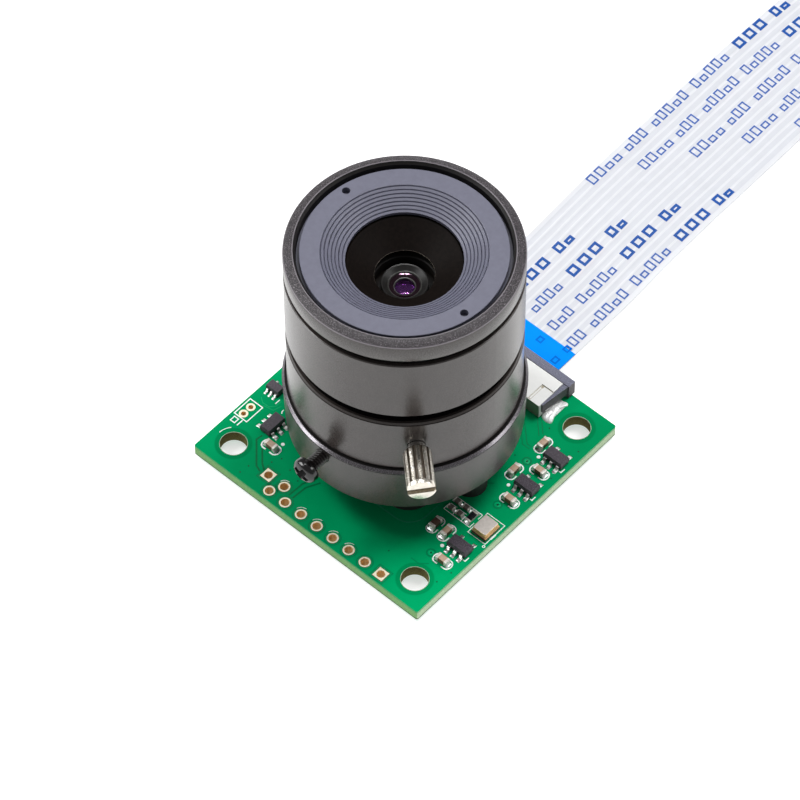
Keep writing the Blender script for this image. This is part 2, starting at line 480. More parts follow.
def lathe_into(bm, prof, seg=160, mat=0, mtx=None, a0=0.0, closed=True):
    """Closed profile of (r, z) or (r, z, material) turned about Z. The material is
    that of the strip from this point to the next."""
    rings = []
    for p in prof:
        r, z = p[0], p[1]
        if r < 1e-9:
            rings.append([bm.verts.new((0, 0, z))])
        else:
            rings.append([bm.verts.new((r * math.cos(a0 + 2 * math.pi * i / seg),
                                        r * math.sin(a0 + 2 * math.pi * i / seg), z)) for i in range(seg)])
    cnt = len(prof) if closed else len(prof) - 1
    for k in range(cnt):
        a, b = rings[k], rings[(k + 1) % len(prof)]
        mi = prof[k][2] if len(prof[k]) > 2 else mat
        if len(a) == 1 and len(b) == 1:
            continue
        for i in range(seg):
            j = (i + 1) % seg
            if len(a) == 1:
                f = bm.faces.new((a[0], b[j], b[i]))
            elif len(b) == 1:
                f = bm.faces.new((a[i], a[j], b[0]))
            else:
                f = bm.faces.new((a[i], a[j], b[j], b[i]))
            f.material_index = mi
    vs = [v for r in rings for v in r]
    if mtx is not None:
        for v in vs:
            v.co = mtx @ v.co
    return vs


def lathe(name, prof, mats, seg=192, sharp=25.0, mtx=None):
    bm = bmesh.new()
    lathe_into(bm, prof, seg, 0, mtx)
    return finish_mesh(name, bm, mats, sharp)


def rounded_box(bm, x0, x1, y0, y1, z0, z1, r=0.05, segs=2, mat=0, mtx=None):
    """Box with all its edges rounded."""
    tmp = bmesh.new()
    bmesh.ops.create_cube(tmp, size=1.0)
    for v in tmp.verts:
        v.co = Vector((x0 + (v.co.x + 0.5) * (x1 - x0), y0 + (v.co.y + 0.5) * (y1 - y0),
                       z0 + (v.co.z + 0.5) * (z1 - z0)))
    if r > 0:
        bmesh.ops.bevel(tmp, geom=list(tmp.edges), offset=r, segments=segs, profile=0.5, affect="EDGES")
    add(bm, tmp, mat, mtx)


def add(bm, tmp, mat=None, mtx=None):
    vm = {}
    for v in tmp.verts:
        vm[v] = bm.verts.new(mtx @ v.co if mtx is not None else v.co)
    for f in tmp.faces:
        g = bm.faces.new([vm[v] for v in f.verts])
        g.material_index = f.material_index if mat is None else mat
    tmp.free()


def prism(bm, pts, z0, z1, mat=0, mtx=None):
    """Upright prism over a plan outline."""
    lo = [bm.verts.new((x, y, z0)) for x, y in pts]
    hi = [bm.verts.new((x, y, z1)) for x, y in pts]
    fs = [bm.faces.new(lo[::-1]), bm.faces.new(hi)]
    n = len(pts)
    for i in range(n):
        j = (i + 1) % n
        fs.append(bm.faces.new((lo[i], lo[j], hi[j], hi[i])))
    for f in fs:
        f.material_index = mat
    if mtx is not None:
        for v in lo + hi:
            v.co = mtx @ v.co


def arc_pts(cx, cy, r, a0, a1, n):
    return [(cx + r * math.cos(math.radians(a0 + (a1 - a0) * i / n)),
             cy + r * math.sin(math.radians(a0 + (a1 - a0) * i / n))) for i in range(n + 1)]


def stroke(bm, pts, w, z0, z1, closed=False, mat=0):
    """Flat ribbon of ink or copper along a line on the board, mitred at its corners."""
    n = len(pts)
    P2 = [Vector(p) for p in pts]
    L, R = [], []
    for i in range(n):
        if closed:
            a, b = P2[i - 1], P2[(i + 1) % n]
        else:
            a, b = P2[max(i - 1, 0)], P2[min(i + 1, n - 1)]
        d1 = (P2[i] - a).normalized() if (P2[i] - a).length > 1e-9 else (b - P2[i]).normalized()
        d2 = (b - P2[i]).normalized() if (b - P2[i]).length > 1e-9 else d1
        t = (d1 + d2)
        t = t.normalized() if t.length > 1e-6 else d1
        nn = Vector((-t.y, t.x))
        c = max(0.4, nn.dot(Vector((-d1.y, d1.x))))
        L.append(P2[i] + nn * (w / 2 / c))
        R.append(P2[i] - nn * (w / 2 / c))
    q = []
    for i in range(n):
        q.append([bm.verts.new((L[i].x, L[i].y, z1)), bm.verts.new((R[i].x, R[i].y, z1)),
                  bm.verts.new((R[i].x, R[i].y, z0)), bm.verts.new((L[i].x, L[i].y, z0))])
    fs = []
    for i in range(n if closed else n - 1):
        a, b = q[i], q[(i + 1) % n]
        for k in range(4):
            l = (k + 1) % 4
            fs.append(bm.faces.new((a[k], a[l], b[l], b[k])))
    if not closed:
        fs.append(bm.faces.new(q[0]))
        fs.append(bm.faces.new(q[-1][::-1]))
    for f in fs:
        f.material_index = mat


def disc(bm, x, y, r, z0, z1, n=24, mat=0, hole=0.0):
    if hole > 0:
        lathe_into(bm, [(hole, z0), (r, z0), (r, z1), (hole, z1)], n, mat, Matrix.Translation((x, y, 0)))
    else:
        lathe_into(bm, [(0, z0), (r, z0), (r, z1), (0, z1)], n, mat, Matrix.Translation((x, y, 0)), closed=False)


def use_cad(node, mat, angle=30.0, bevel=0.0):
    ob = NODES[node]
    if not ob.material_slots:
        ob.data.materials.append(mat)
    for s in ob.material_slots:
        s.material = mat
    if bevel > 0:
        b = ob.modifiers.new("edges", "BEVEL")
        b.width = bevel * MM
        b.segments = 2
        b.limit_method = "ANGLE"
        b.angle_limit = math.radians(40)
    return ob


def place(ob, body, slot=None, *nodes):
    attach(ob, body)
    if nodes:
        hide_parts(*nodes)
    return ob


def outward(angle_deg, z):
    """Turns local Z into the outward direction at an azimuth, at height z."""
    return Matrix.Translation((0, 0, z)) @ Matrix.Rotation(math.radians(angle_deg), 4, "Z") @ \
        Matrix.Rotation(math.radians(90), 4, "Y")


T = 1.6                                    # board top

# ------------------------------------------------------------------ flat cable
ROUTE = [(14.0, 3.0), (28.0, 3.0), (42.0, 4.9), (56.0, 5.1), (70.0, 5.6), (84.0, 5.0), (98.0, 1.9),
         (112.0, -0.40), (138.0, -0.15), (163.45, -0.45)]
curve = bpy.data.curves.new("cable_route", "CURVE")
curve.dimensions = "3D"
curve.resolution_u = 24
sp = curve.splines.new("NURBS")
sp.points.add(len(ROUTE) - 1)
for p, (y, z) in zip(sp.points, ROUTE):
    p.co = (0.0, y * MM, z * MM, 1.0)
sp.order_u = 3
sp.use_endpoint_u = True
route_ob = bpy.data.objects.new("cable_route", curve)
SCENE.collection.objects.link(route_ob)
bpy.context.view_layer.update()
line = bpy.data.meshes.new_from_object(route_ob)
PATH = [v.co.copy() for v in line.vertices]
bpy.data.objects.remove(route_ob)
bpy.data.meshes.remove(line)

CAB_W, CAB_T = 16.0, 0.22
arc = [0.0]
for a, b in zip(PATH[:-1], PATH[1:]):
    arc.append(arc[-1] + (b - a).length)

# the strip is twisted a little along its length: (distance along Y in mm, roll in degrees)
ROLL = [(0, 0), (24, 0), (34, -1.0), (46, -1.6), (56, -2.2), (62, -3.0), (68, -4.0), (80, -4.0), (94, -1.5),
        (104, 0), (200, 0)]


def roll_at(y):
    for (a, ra), (b, rb) in zip(ROLL[:-1], ROLL[1:]):
        if a <= y <= b:
            t = (y - a) / (b - a)
            t = t * t * (3 - 2 * t)
            return math.radians(ra + (rb - ra) * t)
    return 0.0


def frames(path):
    out = []
    n = len(path)
    for i, p in enumerate(path):
        t = (path[min(i + 1, n - 1)] - path[max(i - 1, 0)]).normalized()
        side = Vector((1, 0, 0))
        nrm = side.cross(t).normalized()
        rl = roll_at(p.y / MM)
        # a positive roll lifts the +X edge
        s2 = side * math.cos(rl) + nrm * math.sin(rl)
        n2 = nrm * math.cos(rl) - side * math.sin(rl)
        out.append((p, t, s2, n2))
    return out


FR = frames(PATH)


def strip(name, section, mats, y0=None, y1=None, fr=None):
    """Sweeps a closed cross-section [(x, height, material)] in mm along the cable."""
    use = [f for f in (fr or FR) if (y0 is None or f[0].y / MM >= y0 - 1e-6) and (y1 is None or f[0].y / MM <= y1 + 1e-6)]
    bm = bmesh.new()
    rows = []
    for p, t, s, nn in use:
        rows.append([bm.verts.new(p / MM + s * x + nn * h) for x, h, _ in section])
    k = len(section)
    for a, b in zip(rows[:-1], rows[1:]):
        for i in range(k):
            j = (i + 1) % k
            f = bm.faces.new((a[i], a[j], b[j], b[i]))
            f.material_index = section[i][2]
    for row in (rows[0], rows[-1]):
        f = bm.faces.new(row)
        f.material_index = section[0][2]
    return finish_mesh(name, bm, mats, 40.0)


sec = []
hw, ht, rib = CAB_W / 2, CAB_T / 2, 0.035
sec.append((-hw, ht - 0.05, 1))
for i in range(15):
    x = -7.0 + i
    sec += [(x - 0.41, ht - 0.05, 1), (x - 0.34, ht - 0.05 + rib, 0), (x + 0.34, ht - 0.05 + rib, 1),
            (x + 0.41, ht - 0.05, 1)]
sec.append((hw, ht - 0.05, 0))
sec.append((hw, -ht + 0.05, 1))
for i in reversed(range(15)):
    x = -7.0 + i
    sec += [(x + 0.36, -ht + 0.05, 1), (x + 0.28, -ht + 0.05 - rib, 0), (x - 0.28, -ht + 0.05 - rib, 1),
            (x - 0.36, -ht + 0.05, 1)]
sec.append((-hw, -ht + 0.05, 0))
cable = strip("cable_strip", sec, [M_FILM, M_FILM_RIB])

SH = CAB_T / 2 - 0.01


def band(x0, x1, h0, h1):
    e = min(0.04, (h1 - h0) * 0.3)
    return [(x0, h0, 0), (x1, h0, 0), (x1, h1 - e, 0), (x1 - e, h1, 0), (x0 + e, h1, 0), (x0, h1 - e, 0)]


near_stiff = strip("cable_stiffener_near", band(-8.0, 8.0, SH, SH + 0.13), M_STIFF, 14.0, 22.4)
far_stiff = strip("cable_stiffener_far", band(-8.0, 8.0, SH, SH + 0.13), M_STIFF, 155.2, 164)
bm = bmesh.new()
ends = [f for f in FR if f[0].y / MM >= 159.0]
for i in range(15):
    x = -7.0 + i
    rows = [[bm.verts.new(p / MM + s * (x + dx) + nn * h) for dx, h in
             ((-0.33, -SH), (0.33, -SH), (0.33, -SH - 0.04), (-0.33, -SH - 0.04))] for p, t, s, nn in ends]
    for a, b in zip(rows[:-1], rows[1:]):
        for k in range(4):
            bm.faces.new((a[k], a[(k + 1) % 4], b[(k + 1) % 4], b[k]))
    bm.faces.new(rows[0])
    bm.faces.new(rows[-1])
far_bare = finish_mesh("cable_contacts_far", bm, M_TIN)


def at_path(y):
    for a, b in zip(FR[:-1], FR[1:]):
        if a[0].y / MM <= y <= b[0].y / MM:
            t = (y - a[0].y / MM) / max(1e-9, (b[0].y - a[0].y) / MM)
            return a[0].lerp(b[0], t), a[2].lerp(b[2], t).normalized(), a[3].lerp(b[3], t).normalized()
    return FR[-1][0], FR[-1][2], FR[-1][3]


# blue print on the cable: solid bars and rows of plain ticks in slanting lines
bm = bmesh.new()


def dab(y0, y1, x0, x1, mat=0, h=SH):
    n = max(1, int((y1 - y0) / 1.2))
    rows = []
    for i in range(n + 1):
        p, s, nn = at_path(y0 + (y1 - y0) * i / n)
        rows.append([bm.verts.new(p / MM + s * x + nn * hh) for x, hh in
                     ((x0, h - 0.03), (x1, h - 0.03), (x1, h + 0.012), (x0, h + 0.012))])
    fs = []
    for a, b in zip(rows[:-1], rows[1:]):
        for k in range(4):
            fs.append(bm.faces.new((a[k], a[(k + 1) % 4], b[(k + 1) % 4], b[k])))
    fs.append(bm.faces.new(rows[0]))
    fs.append(bm.faces.new(rows[-1]))
    for f in fs:
        f.material_index = mat


# each word is (distance from the row's start, mark pitch, mark width, stroke, material, marks)
WORDS = ((0.0, 1.62, 1.25, 0.36, 0, "box half"), (-5.9, 2.05, 1.45, 0.36, 0, "box box box"),
         (-13.8, 1.36, 0.95, 0.20, 1, "box half box box half"), (-21.7, 1.36, 0.95, 0.20, 1, "half box box half box"),
         (-28.2, 1.36, 0.95, 0.20, 1, "half box box"), (-34.0, 1.50, 1.05, 0.20, 1, "box box half half"))
PRINT_ROWS = [(-7.12, 27.3), (-3.8, 33.2), (-0.3, 38.95), (3.15, 45.0), (6.5, 51.2)]


def mark(kind, y, x, w, st, mat, h):
    """One plain mark of the print: a whole open box or a low one."""
    t = 0.72
    lo = x - t if kind == "box" else x - t * 0.25
    dab(y, y + st, lo, x + t, mat, h)
    dab(y + w - st, y + w, lo, x + t, mat, h)
    dab(y + st, y + w - st, lo, lo + st, mat, h)
    dab(y + st, y + w - st, x + t - st, x + t, mat, h)


for x, start in PRINT_ROWS:
    for turn_ in range(-1, 3):
        for off, pitch, w, st, mat, marks in WORDS:
            kinds = marks.split()
            y = start + turn_ * 51.4 + off - (pitch * (len(kinds) - 1) + w) / 2
            for kind in kinds:
                if 22.5 < y and y + w < 152:
                    mark(kind, y, x, w, st, mat, SH)
                elif 14.6 < y and y + w < 22.3:
                    mark(kind, y, x, w, st + 0.04, 2, SH + 0.13)
                y += pitch
cable_print = finish_mesh("cable_print", bm, [M_INK, M_INK_THIN, M_INK_UNDER], smooth=False)

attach(cable, "board")
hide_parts("flat_cable")
for ob, nodes, sl in ((near_stiff, ("cable_near_stiffener",), "stiffener_blue"),
                      (far_stiff, ("cable_far_stiffener",), "stiffener_blue"),
                      (far_bare, ("cable_far_contacts",), "tinned_copper"), (cable_print, (), "stiffener_blue")):
    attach(ob, "board")
    if nodes:
        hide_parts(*nodes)

# ------------------------------------------------------------------ circuit board and its artwork
use_cad("circuit_board", M_BOARD)
use_cad("pad_rings", M_GOLD)
use_cad("image_sensor", M_SENSOR)
use_cad("sensor_cover_glass", M_GLASS)
use_cad("ir_cut_filter", M_FILTER)

SOT5 = [(15.73, 9.26), (15.78, 3.93), (15.64, -7.81)]
CAPS = [(13.19, 9.90, 90, 0), (13.10, 4.72, 90, 0), (15.42, 6.64, 0, 0), (15.47, 1.19, 0, 0),
        (11.23, -7.20, 90, 1), (12.99, -7.21, 90, 0), (15.31, -10.52, 0, 0), (-10.79, -11.91, 0, 0)]
SMALL = [(11.08, -4.24), (12.43, -4.24), (11.08, -3.07), (12.43, -3.07)]
Z0, Z1 = T - 0.01, T + 0.022

bm = bmesh.new()


def cap_outline(x, y, turn, width):
    """Rounded dog-bone outline round a chip capacitor, open at the waist."""
    a, b = 1.28, 0.66
    for s in (1, -1):
        pts = [(s * 0.32, b), (s * 0.75, b)] + [(s * (0.75 + (a - 0.75) * math.sin(t)), b * math.cos(t))
                                               for t in np.linspace(0.12, math.pi - 0.12, 11)] + \
              [(s * 0.75, -b), (s * 0.32, -b)]
        if turn == 90:
            pts = [(-q, p) for p, q in pts]
        stroke(bm, [(x + p, y + q) for p, q in pts], width, Z0, Z1)


for x, y, t, _ in CAPS:
    cap_outline(x, y, t, 0.20 if x < 0 else 0.155)
# grid round the four small capacitors and the resistor
gx = [10.40, 11.75, 13.10, 14.46]
gy = [-4.81, -3.66, -2.50]
w = 0.105
stroke(bm, [(gx[0], gy[0]), (gx[3], gy[0])], w, Z0, Z1)
stroke(bm, [(gx[0], gy[2]), (gx[3], gy[2])], w, Z0, Z1)
stroke(bm, [(gx[0] + 0.12, gy[1]), (gx[1] - 0.25, gy[1])], w, Z0, Z1)
stroke(bm, [(gx[1] + 0.12, gy[1]), (gx[2] - 0.1, gy[1])], w, Z0, Z1)
stroke(bm, [(gx[0], gy[0]), (gx[0], gy[0] + 0.8)], w, Z0, Z1 + 0.003)
stroke(bm, [(gx[0], gy[2]), (gx[0], gy[2] - 0.8)], w, Z0, Z1 + 0.003)
for x in gx[1:3]:
    stroke(bm, [(x, gy[0]), (x, gy[0] + 0.85)], w, Z0, Z1 + 0.003)
    stroke(bm, [(x, gy[2]), (x, gy[2] - 0.85)], w, Z0, Z1 + 0.003)
stroke(bm, [(gx[3], gy[0]), (gx[3], gy[0] + 0.8)], w, Z0, Z1 + 0.003)
stroke(bm, [(gx[3], gy[2]), (gx[3], gy[2] - 0.8)], w, Z0, Z1 + 0.003)
# brackets at the chips
for x, y in SOT5:
    stroke(bm, [(x + 1.62, y - 0.30), (x + 1.62, y - 0.95), (x + 1.30, y - 0.95)], 0.13, Z0, Z1)
    stroke(bm, [(x - 0.35, y + 1.0), (x + 0.35, y + 1.0)], 0.13, Z0, Z1)
for x, y in ((13.88, 8.25), (13.87, 2.83), (13.78, -8.89), (-10.04, -10.68)):
    disc(bm, x, y, 0.23, Z0, Z1)
# crystal frame
stroke(bm, [(14.72, -5.42), (17.42, -5.42), (17.42, -1.89), (14.72, -1.89)], 0.10, Z0, Z1, closed=True)
stroke(bm, [(17.44, -4.45), (17.44, -3.55)], 0.20, Z0, Z1 + 0.004)
disc(bm, 17.50, -5.75, 0.20, Z0, Z1, hole=0.10)
# box round the small pair of pads
stroke(bm, [(-17.5, -8.35), (-15.5, -8.35), (-15.5, -11.15), (-17.5, -11.15)], 0.14, Z0, Z1, closed=True)
# outline pieces at the left-hand chips
stroke(bm, [(-14.75, -4.2), (-14.75, -3.2), (-15.6, -3.2)], 0.13, Z0, Z1)
stroke(bm, [(-14.75, -6.1), (-14.75, -6.9)], 0.13, Z0, Z1)
stroke(bm, [(-13.18, -7.48), (-13.37, -7.23), (-13.39, -6.89)], 0.12, Z0, Z1)
stroke(bm, [(-17.15, -11.50), (-16.50, -11.50), (-16.50, -12.22), (-17.15, -12.22)], 0.13, Z0, Z1, closed=True)
stroke(bm, [(-16.02, -11.30), (-16.02, -12.28)], 0.15, Z0, Z1)
stroke(bm, arc_pts(-14.5, -14.5, 2.38, 140, 178, 10), 0.09, Z0, Z1)
# edges of the mask that catch the light above some of the pads
for x, y, r_ in ((-5.72, -15.09, 0.93), (-1.58, -16.68, 1.00), (0.96, -16.68, 1.02), (3.50, -16.68, 1.02), (6.04, -16.68, 1.0)):
    stroke(bm, arc_pts(x, y, r_, 92, 160, 10), 0.055, Z0, Z1 - 0.006)
silk = finish_mesh("board_ink_lines", bm, M_SILK, smooth=False)
bm2 = bmesh.new()
for sx in (-1, 1):
    for sy in (-1, 1):
        for z0, z1 in ((T - 0.01, T + 0.014), (-0.014, 0.01)):
            lathe_into(bm2, [(1.655, z0), (1.715, z0), (1.715, z1 - 0.004), (1.655, z1)], 64, 0,
                       Matrix.Translation((sx * 14.5, sy * 14.5, 0)))
rims = finish_mesh("board_hole_rims", bm2, M_RIMLINE, smooth=False)
place(rims, "board", "solder_mask")
place(silk, "board", "ivory_plastic")

# faint outline of the holder's foot
bm = bmesh.new()
foot = []
h9, r9 = 9.6, 2.6
for cxx, cyy, a in ((h9 - r9, -(h9 - r9), -90), (h9 - r9, h9 - r9, 0), (-(h9 - r9), h9 - r9, 90), (-(h9 - r9), -(h9 - r9), 180)):
    foot += arc_pts(cxx, cyy, r9, a, a + 90, 8)
stroke(bm, foot, 0.16, Z0, Z1 - 0.006, closed=True)
faint = finish_mesh("board_foot_outline", bm, M_SILK_FAINT, smooth=False)
place(faint, "board", "solder_mask")

# copper artwork seen through the mask: rings, gaps and a few tracks
bm = bmesh.new()
DZ = T + 0.008
for x, y in ((13.24, 6.86), (14.79, -0.17), (13.46, -10.50)):
    disc(bm, x, y, 0.62, Z0, DZ, 24, 0, hole=0.42)
pads_xy = [(-6.66 + 2.54 * i, -16.68) for i in range(8)] + [(-8.26, -15.09), (-5.72, -15.09)]
for i, (x, y) in enumerate(pads_xy):
    if i in (7, 8):
        stroke(bm, [(x - 1.0, y - 1.0), (x + 1.0, y - 1.0), (x + 1.0, y + 1.0), (x - 1.0, y + 1.0)], 0.14, Z0, DZ,
               closed=True)
        stroke(bm, [(x - 0.76, y - 0.76), (x + 0.76, y - 0.76), (x + 0.76, y + 0.76), (x - 0.76, y + 0.76)], 0.08, Z0,
               T + 0.030, closed=True, mat=1)
    else:
        disc(bm, x, y, 1.06, Z0, DZ, 32, 0, hole=0.92)
        disc(bm, x, y, 0.785, Z0, T + 0.030, 40, 1, hole=0.715)
TRACKS = [
    [(8.2, 12.0), (11.6, 8.8), (12.3, 8.8)], [(7.6, 12.0), (11.2, 8.4), (12.3, 8.4)],
    [(12.2, -12.6), (13.4, -12.6), (14.3, -11.8)], [(12.5, 1.9), (11.6, 1.2), (11.6, -1.2)],
    [(11.9, 10.6), (9.6, 12.9), (7.4, 13.3)], [(12.1, 11.1), (10.0, 13.2), (7.4, 13.7)],
    [(-12.0, -6.4), (-10.6, -5.1)], [(-13.3, -6.4), (-13.3, -4.4)],
]
WIDE = [
    [(-12.75, -11.35), (-12.9, -12.2), (-10.25, -15.05), (-9.4, -15.35)],
    [(-11.45, -12.75), (-9.9, -14.4), (-9.2, -14.85)],
    [(-4.5, -15.6), (-4.4, -13.3), (-3.6, -11.6)], [(-3.9, -15.6), (-3.75, -13.5), (-2.9, -11.8)],
]
for t in WIDE:
    stroke(bm, t, 0.22, Z0, DZ, mat=2)
for t in TRACKS:
    stroke(bm, t, 0.13, Z0, DZ)
dark = finish_mesh("board_copper_gaps", bm, [M_MASK_DARK, M_PAD_EDGE, M_MASK_DEEP], smooth=False)
place(dark, "board", "solder_mask")

bm = bmesh.new()
for x, y in ((13.24, 6.86), (14.79, -0.17), (13.46, -10.50)):
    lathe_into(bm, [(0.14, Z0), (0.34, Z0), (0.36, T + 0.004), (0.28, T + 0.026), (0.16, T + 0.020), (0.13, T)], 20, 0,
               Matrix.Translation((x, y, 0)))
    lathe_into(bm, [(0, Z0), (0.13, Z0), (0.13, T + 0.003), (0, T + 0.003)], 16, 1, Matrix.Translation((x, y, 0)),
               closed=False)
for x, y in ((-10.94, -15.68), (-11.09, -17.0), (-8.72, -12.3), (-6.84, -12.84), (-5.11, -13.4), (-9.27, -13.45),
             (17.13, -11.05), (16.7, -13.1), (12.1, 12.3), (9.6, -13.6), (16.9, 12.0), (11.3, 0.4), (17.0, 6.9),
             (11.6, 6.6)):
    lathe_into(bm, [(0, Z0), (0.10, Z0), (0.10, T + 0.006), (0, T + 0.006)], 16, 1, Matrix.Translation((x, y, 0)),
               closed=False)
for t in ([(-16.71, -7.28), (-16.02, -7.78), (-15.02, -7.73), (-14.46, -7.09), (-14.45, -6.11)],
          [(-15.67, -8.03), (-14.29, -7.78), (-13.96, -6.64)]):
    stroke(bm, t, 0.10, Z0, DZ)
vias = finish_mesh("board_vias", bm, [M_MASK_TRACE, M_VIA], 40)
place(vias, "board", "solder_mask")

# ------------------------------------------------------------------ lens holder
use_cad("lens_holder", M_HOLDER)
use_cad("holder_screws", M_SCREW)
edge = lathe("holder_turned_edge", [(14.40, 14.17), (14.435, 14.14), (14.440, 14.20), (14.175, 14.465), (14.13, 14.485),
                                    (14.12, 14.45)], M_EDGE, 256, 20)
place(edge, "board", "holder_black")
lines = lathe("holder_edge_lines", [(14.40, 14.02), (14.448, 14.02), (14.448, 14.145), (14.40, 14.145)], M_SHADOW, 256, 20)
place(lines, "board", "holder_black")
lines2 = lathe("holder_top_ring", [(13.40, 14.44), (14.115, 14.44), (14.115, 14.512), (13.40, 14.512)], M_SHADOW, 256, 20)
place(lines2, "board", "holder_black")


def solid_boolean(ob, cutter):
    """Cuts one object out of another and keeps the result as plain mesh."""
    md = ob.modifiers.new("cut", "BOOLEAN")
    md.operation = "DIFFERENCE"
    md.solver = "EXACT"
    md.object = cutter
    bpy.context.view_layer.update()
    dg = bpy.context.evaluated_depsgraph_get()
    me = bpy.data.meshes.new_from_object(ob.evaluated_get(dg))
    ob.modifiers.clear()
    ob.data = me
    bpy.data.objects.remove(cutter)
    return ob


# lock screw: helical thread, domed head, tapered cross recess
LOCK_M = outward(-90, 12.75)
bm = bmesh.new()
NT, PITCH = 40, 0.36
rows = []
zs = list(np.arange(12.80, 16.72, 0.045))
for z in zs:
    row = []
    fade = min(1.0, (z - 12.80) / 0.3)
    for i in range(NT):
        ph = (z / PITCH - i / NT) % 1.0
        tri = 1 - abs(2 * ph - 1)
        r = 0.68 + 0.24 * min(1.0, max(0.0, tri * 1.5 - 0.2)) * fade
        a = 2 * math.pi * i / NT
        row.append(bm.verts.new((r * math.cos(a), r * math.sin(a), z)))
    rows.append(row)
for a, b in zip(rows[:-1], rows[1:]):
    for i in range(NT):
        j = (i + 1) % NT
        bm.faces.new((a[i], a[j], b[j], b[i]))
bm.faces.new(rows[0][::-1])
bm.faces.new(rows[-1])
bmesh.ops.transform(bm, matrix=LOCK_M, verts=bm.verts)
thread = finish_mesh("lock_screw_thread", bm, M_THREAD, 50)
bm = bmesh.new()
lathe_into(bm, [(0, 16.68), (1.45, 16.68), (1.57, 16.74), (1.62, 16.86), (1.62, 17.36), (1.585, 17.52), (1.50, 17.66),
                (1.36, 17.80), (1.15, 17.93), (0.85, 18.04), (0.45, 18.10), (0, 18.115)], 72, 0, None, 0.0, False)
bmesh.ops.transform(bm, matrix=LOCK_M, verts=bm.verts)
head = finish_mesh("lock_screw_head", bm, M_SCREW, 50)
bm = bmesh.new()
for k in range(4):
    rot = LOCK_M @ Matrix.Rotation(math.radians(64 + 90 * k), 4, "Z")
    lo = [(0, -0.22), (0.45, -0.20), (0.45, 0.20), (0, 0.22)]
    hi = [(0, -0.50), (1.38, -0.40), (1.38, 0.40), (0, 0.50)]
    a = [bm.verts.new(rot @ Vector((x - 0.02, y, 17.20))) for x, y in lo]
    b = [bm.verts.new(rot @ Vector((x - 0.02, y, 18.30))) for x, y in hi]
    bm.faces.new(a[::-1])
    bm.faces.new(b)
    for i in range(4):
        bm.faces.new((a[i], a[(i + 1) % 4], b[(i + 1) % 4], b[i]))
bmesh.ops.recalc_face_normals(bm, faces=bm.faces)
cross = finish_mesh("cross_cutter", bm, M_SCREW, smooth=False)
md = cross.modifiers.new("join", "REMESH")
md.mode = "VOXEL"
md.voxel_size = 0.018 * MM
bpy.context.view_layer.update()
dg = bpy.context.evaluated_depsgraph_get()
me = bpy.data.meshes.new_from_object(cross.evaluated_get(dg))
cross.modifiers.clear()
cross.data = me
solid_boolean(head, cross)
bm = bmesh.new()
bm.from_mesh(head.data)
for f in bm.faces:
    f.smooth = True
for e in bm.edges:
    if len(e.link_faces) == 2:
        e.smooth = e.calc_face_angle(0.0) < math.radians(38)
bm.to_mesh(head.data)
bm.free()
if not head.data.materials:
    head.data.materials.append(M_SCREW)
head.data.materials[0] = M_SCREW
for ob in (thread, head):
    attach(ob, "lock_screw")
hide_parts("lens_lock_screw")

# ------------------------------------------------------------------ lens rings
use_cad("lens_base_ring", M_BARREL)
use_cad("focus_barrel", M_BARREL)
bezel = lathe("bezel_turned", [(12.20, 32.3, 1), (12.55, 32.3, 1), (12.55, 34.36, 1), (13.30, 34.36, 1),
                               (13.30, 35.33, 0), (13.76, 35.33, 0), (13.84, 35.37, 0), (13.87, 35.46, 0),
                               (13.87, 37.56, 0), (13.845, 37.66, 2), (13.76, 37.73, 2), (12.80, 38.155, 2),
                               (12.72, 38.165, 2), (12.66, 38.12, 1), (12.60, 38.02, 1), (12.38, 37.80, 1),
                               (12.38, 35.30, 1), (12.20, 35.10, 1)], [M_BARREL, M_SHADOW, M_RIM], 288, 24)
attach(bezel, "barrel")
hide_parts("front_bezel")
use_cad("front_baffle_ring", M_BAFFLE)
use_cad("inner_hood", M_MATT)
hood_edge = lathe("hood_inner_edge", [(3.50, 33.20), (3.535, 33.21), (3.55, 33.25), (3.535, 33.29), (3.50, 33.30),
                                      (3.475, 33.25)], M_HOOD_EDGE, 160, 60)
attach(hood_edge, "barrel")

# nose of the glass cell: satin ring, thin seat ring, coated front glass
use_cad("optical_cell", M_CELL)
seat = lathe("cell_seat", [(1.80, 31.18), (1.98, 31.345), (1.97, 31.39), (1.90, 31.38), (1.83, 31.30), (1.80, 31.25)],
             M_SEAT, 128, 30)
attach(seat, "optics")

# outer zone of the front glass: a shallow hollow; then a thin ring, then nested domes over a dark violet bed
RO = 7.8
bm = bmesh.new()
prof = [(1.805 - 0.505 * i / 12, 30.95 + RO - math.sqrt(RO * RO - (1.805 - 0.505 * i / 12) ** 2), 0) for i in range(13)]
prof += [(1.295, 30.70, 0), (1.805, 30.70, 0)]
lathe_into(bm, prof, 160, 0)
outer_glass = finish_mesh("front_glass_rim", bm, M_COAT_ROSE, 30)
inner_ring = lathe("front_glass_ring", [(1.30, 30.98), (1.30, 31.04), (1.27, 31.055), (1.19, 31.03), (1.165, 30.96),
                                        (1.165, 30.20), (1.30, 30.20)], M_SEAT, 128, 30)


def dome_mesh(name, radius, top, rim, base, mat):
    """Solid cap: a sphere's crown over a flat base."""
    pts = [(rim * i / 12, top - (radius - math.sqrt(radius * radius - (rim * i / 12) ** 2))) for i in range(13)]
    bm_ = bmesh.new()
    lathe_into(bm_, [(0, base)] + [(rim, base)] + pts[::-1], 96, 0, None, 0.0, False)
    return finish_mesh(name, bm_, mat, 30)


